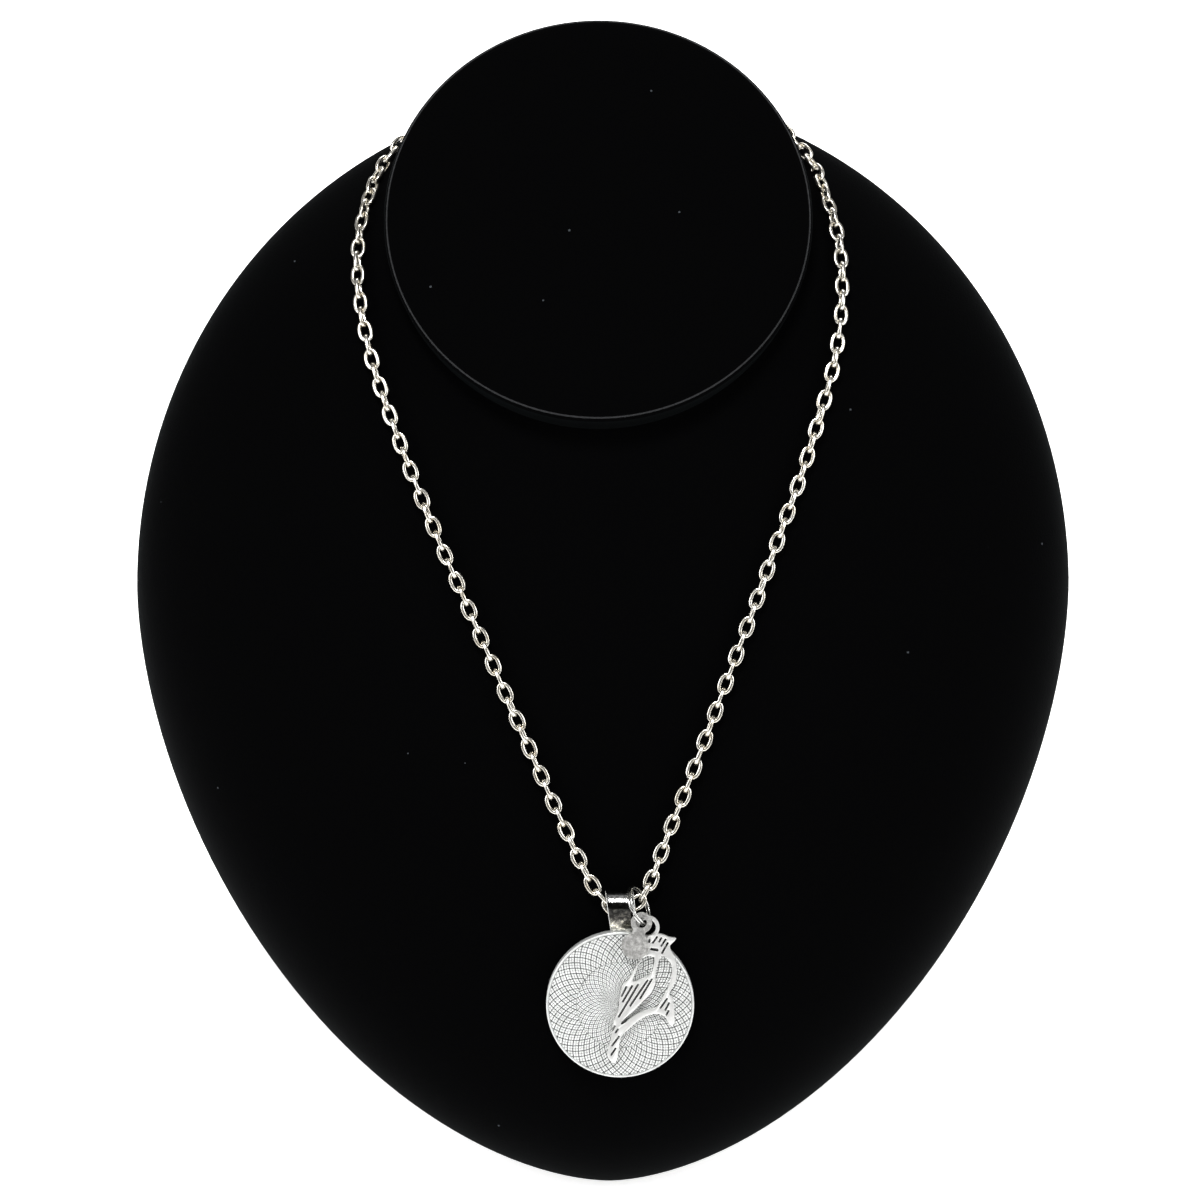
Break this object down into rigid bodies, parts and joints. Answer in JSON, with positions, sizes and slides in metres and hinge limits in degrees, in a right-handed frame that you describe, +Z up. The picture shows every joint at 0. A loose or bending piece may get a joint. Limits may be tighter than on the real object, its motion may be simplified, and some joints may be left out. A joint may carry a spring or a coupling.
{
  "type": "charm necklace on a neck bust",
  "caption": "Oval cable chain round a velvet neck bust, with an engine turned round pendant on a folded bail, a split ring, a blank round tag and an openwork bird charm.",
  "frame": {"origin": "middle of the bounding box at the level the bust stands on", "axes": "+Z up, -Y to the front where the pendant lies, +X to the right in the picture"},
  "size_m": [0.1796, 0.1383, 0.1995],
  "materials": {
    "velvet": "black velvet, short pile",
    "chain_silver": "polished silver-coloured metal",
    "pendant_silver": "bright silver-coloured metal with fine engine turning",
    "ring_steel": "polished wire",
    "frosted_silver": "fine matt frosted metal",
    "cast_silver": "bright cast metal with rounded edges"
  },
  "bodies": {
    "root": {"neck_bust": "velvet", "chain_left": "chain_silver", "chain_right": "chain_silver", "clasp": "chain_silver", "pendant": "pendant_silver", "split_ring": "ring_steel", "round_tag": "frosted_silver", "bird_charm": "cast_silver"}
  },
  "joints": []
}
